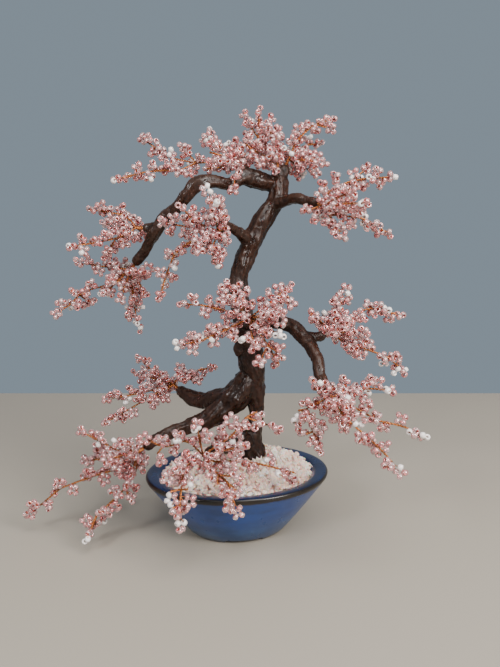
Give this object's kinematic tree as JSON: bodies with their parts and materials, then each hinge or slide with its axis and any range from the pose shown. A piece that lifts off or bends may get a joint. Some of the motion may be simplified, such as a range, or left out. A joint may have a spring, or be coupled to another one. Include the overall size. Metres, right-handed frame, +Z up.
{
  "type": "beaded wire cherry blossom bonsai",
  "caption": "Small ornamental tree with an arching brown trunk and sprays of pink glass bead blossoms on copper wire, standing in pale stone chips in a blue oval footed pot.",
  "frame": {"origin": "on the surface that the pot stands on, under the middle of the whole tree's outline", "axes": "+Z up, +X along the pot's long side to the viewer's right, +Y away from the viewer across the pot"},
  "size_m": [0.1609, 0.1203, 0.1832],
  "materials": {
    "blue_glaze": "gloss",
    "plaster": "matte",
    "quartz": "satin",
    "bark": "gloss",
    "beads_and_wire": "gloss"
  },
  "bodies": {
    "root": {"pot": "blue_glaze", "plaster_fill": "plaster", "quartz_chips": "quartz", "trunk_and_boughs": "bark", "spray_crown_left": "beads_and_wire", "spray_crown_top": "beads_and_wire", "spray_crown_right": "beads_and_wire", "spray_upper_right": "beads_and_wire", "spray_upper_left": "beads_and_wire", "spray_left_second": "beads_and_wire", "spray_left_end": "beads_and_wire", "spray_centre": "beads_and_wire", "spray_right_mid": "beads_and_wire", "spray_right_low": "beads_and_wire", "spray_mid_left": "beads_and_wire", "spray_lower_left": "beads_and_wire", "spray_front": "beads_and_wire"}
  },
  "joints": []
}
